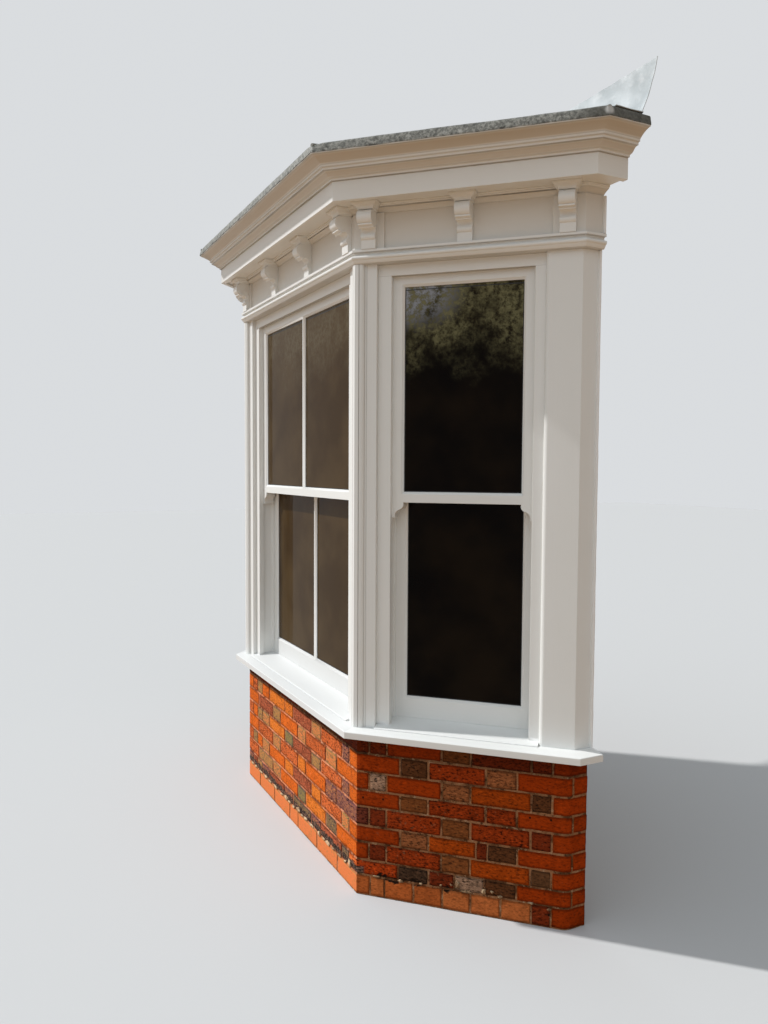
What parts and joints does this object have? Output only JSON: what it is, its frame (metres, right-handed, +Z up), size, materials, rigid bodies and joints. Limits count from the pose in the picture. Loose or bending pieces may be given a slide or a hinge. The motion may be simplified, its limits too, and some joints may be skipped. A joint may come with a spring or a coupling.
{
  "type": "bay window",
  "caption": "Canted ground-floor bay window: brick plinth, painted timber box sash windows, console cornice and a low lead roof, open at the back.",
  "frame": {"origin": "at ground level on the bay's centre line, midway between the house wall plane and the front edge of the cornice", "axes": "+X to the right seen from the street, +Y into the house, +Z up; the wall plane is the +Y side of the bounding box"},
  "size_m": [3.3246, 0.9594, 3.2],
  "materials": {
    "brick": "orange-red stock brick in Flemish bond with grey-buff headers and lime mortar",
    "painted_timber": "softwood joinery in warm white satin paint",
    "roof_timber": "bare sawn softwood",
    "glass": "clear sealed double glazing",
    "lead": "dressed lead sheet, mid grey"
  },
  "bodies": {
    "root": {"bed_moulding": "painted_timber", "box_frame_front": "painted_timber", "box_frame_left": "painted_timber", "box_frame_right": "painted_timber", "consoles_front": "painted_timber", "consoles_left": "painted_timber", "consoles_right": "painted_timber", "corner_post_left": "painted_timber", "corner_post_right": "painted_timber", "crown_moulding_front": "painted_timber", "crown_moulding_left": "painted_timber", "crown_moulding_right": "painted_timber", "fascia_front": "painted_timber", "fascia_left": "painted_timber", "fascia_right": "painted_timber", "frieze_front": "painted_timber", "frieze_left": "painted_timber", "frieze_right": "painted_timber", "glass_front": "glass", "glass_left": "glass", "glass_right": "glass", "lead_flashing": "lead", "lead_roof": "lead", "lower_sash_front": "painted_timber", "lower_sash_left": "painted_timber", "lower_sash_right": "painted_timber", "neck_moulding_front": "painted_timber", "neck_moulding_left": "painted_timber", "neck_moulding_right": "painted_timber", "plinth_front": "brick", "plinth_left": "brick", "plinth_right": "brick", "roof_boards": "roof_timber", "roof_joists": "roof_timber", "sill_front": "painted_timber", "sill_left": "painted_timber", "sill_right": "painted_timber", "soffit": "painted_timber", "upper_sash_front": "painted_timber", "upper_sash_left": "painted_timber", "upper_sash_right": "painted_timber", "wall_post_left": "painted_timber", "wall_post_right": "painted_timber", "window_board": "painted_timber"}
  },
  "joints": []
}
